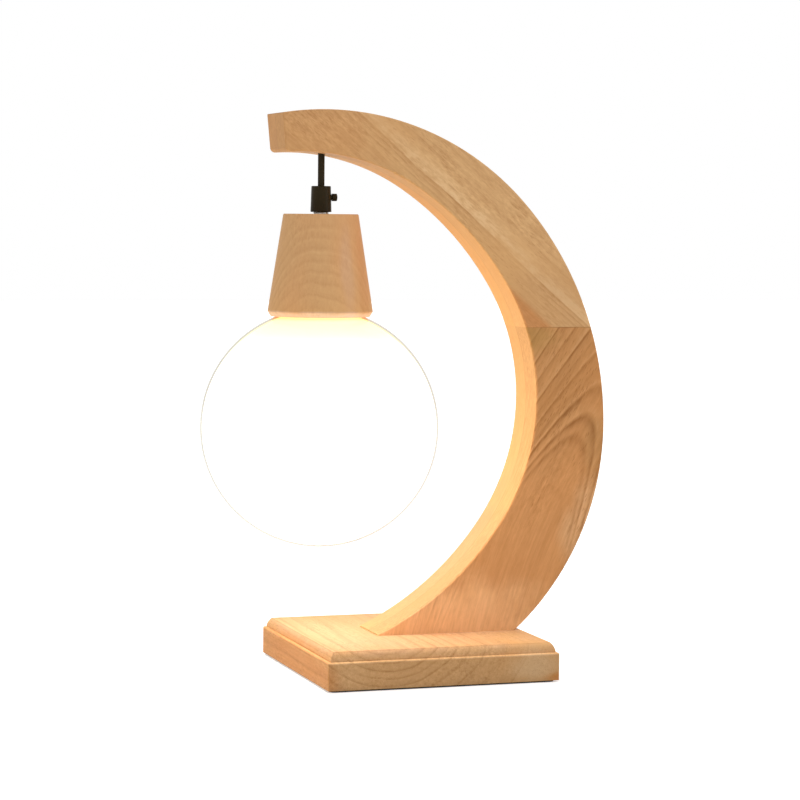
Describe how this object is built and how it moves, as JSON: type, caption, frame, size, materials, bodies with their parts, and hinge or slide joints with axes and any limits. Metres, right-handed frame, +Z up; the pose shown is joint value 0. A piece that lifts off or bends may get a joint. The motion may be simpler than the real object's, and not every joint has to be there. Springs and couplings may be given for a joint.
{
  "type": "table lamp",
  "caption": "Table lamp with a wooden crescent arch on a square base and an opal globe that hangs from the arch's tip on a short cord.",
  "frame": {"origin": "middle of the base's underside, on the table", "axes": "+Z up; +X from the globe towards the arch's back; the arch and the globe's axis lie in the plane Y = 0"},
  "size_m": [0.2605, 0.1516, 0.3535],
  "materials": {
    "base_wood": "light hardwood, clear satin oil",
    "arch_wood": "light hardwood, clear satin oil",
    "cup_wood": "turned light hardwood, clear satin oil",
    "pad": "matt foam rubber",
    "black_plastic": "satin black",
    "cord": "smooth black sheath",
    "steel": "zinc plated",
    "brass": "plain",
    "white_plastic": "moulded, satin",
    "bulb_diffuser": "frosted diffuser",
    "rubber": "soft translucent rubber",
    "opal_glass": "white opal glass, smooth"
  },
  "bodies": {
    "stand": {"base_board": "base_wood", "base_pad": "pad", "inlet_bush": "black_plastic", "foot_screws": "steel", "terminal_block": "white_plastic", "terminal_screws": "steel", "terminal_fixing": "steel", "arch_lower_front": "arch_wood", "arch_lower_back": "arch_wood", "arch_upper_front": "arch_wood", "arch_upper_back": "arch_wood", "joint_dowels": "arch_wood", "arch_lead": "cord", "stop_sleeve": "black_plastic"},
    "cord_link": {"free_cord": "cord"},
    "head": {"cord_grip": "black_plastic", "grip_screw": "black_plastic", "nipple": "steel", "holder_lead": "cord", "cup": "cup_wood", "cup_washer": "steel", "lock_nut": "steel", "holder_cap": "white_plastic", "holder_body": "white_plastic", "holder_shell": "steel", "centre_contact": "brass", "shade_ring": "white_plastic", "globe_gallery": "steel", "bulb_cap": "steel", "bulb_housing": "white_plastic", "bulb_dome": "bulb_diffuser"},
    "lip_rubber": {"lip_rubber": "rubber"},
    "globe": {"globe": "opal_glass", "globe_neck": "opal_glass"}
  },
  "joints": [
    {"name": "cord_swing_side", "type": "hinge", "parent": "stand", "child": "cord_link", "pos_m": [-0.0595, 0, 0.32647], "axis": [1, 0, 0], "range_deg": [-30, 30]},
    {"name": "head_swing_front", "type": "hinge", "parent": "cord_link", "child": "head", "pos_m": [-0.0595, 0, 0.30637], "axis": [0, 1, 0], "range_deg": [-22, 30]},
    {"name": "globe_lower", "type": "slide", "parent": "head", "child": "lip_rubber", "axis": [0, 0, -1], "range_m": [0, 0.008]},
    {"name": "globe_turn", "type": "hinge", "parent": "lip_rubber", "child": "globe", "pos_m": [-0.0595, 0, 0.2], "axis": [0, 0, -1], "range_deg": [0, 720]}
  ],
  "couplings": [
    {"joint": "globe_lower", "follows": "globe_turn", "m_per_rad": 0.00063662}
  ]
}
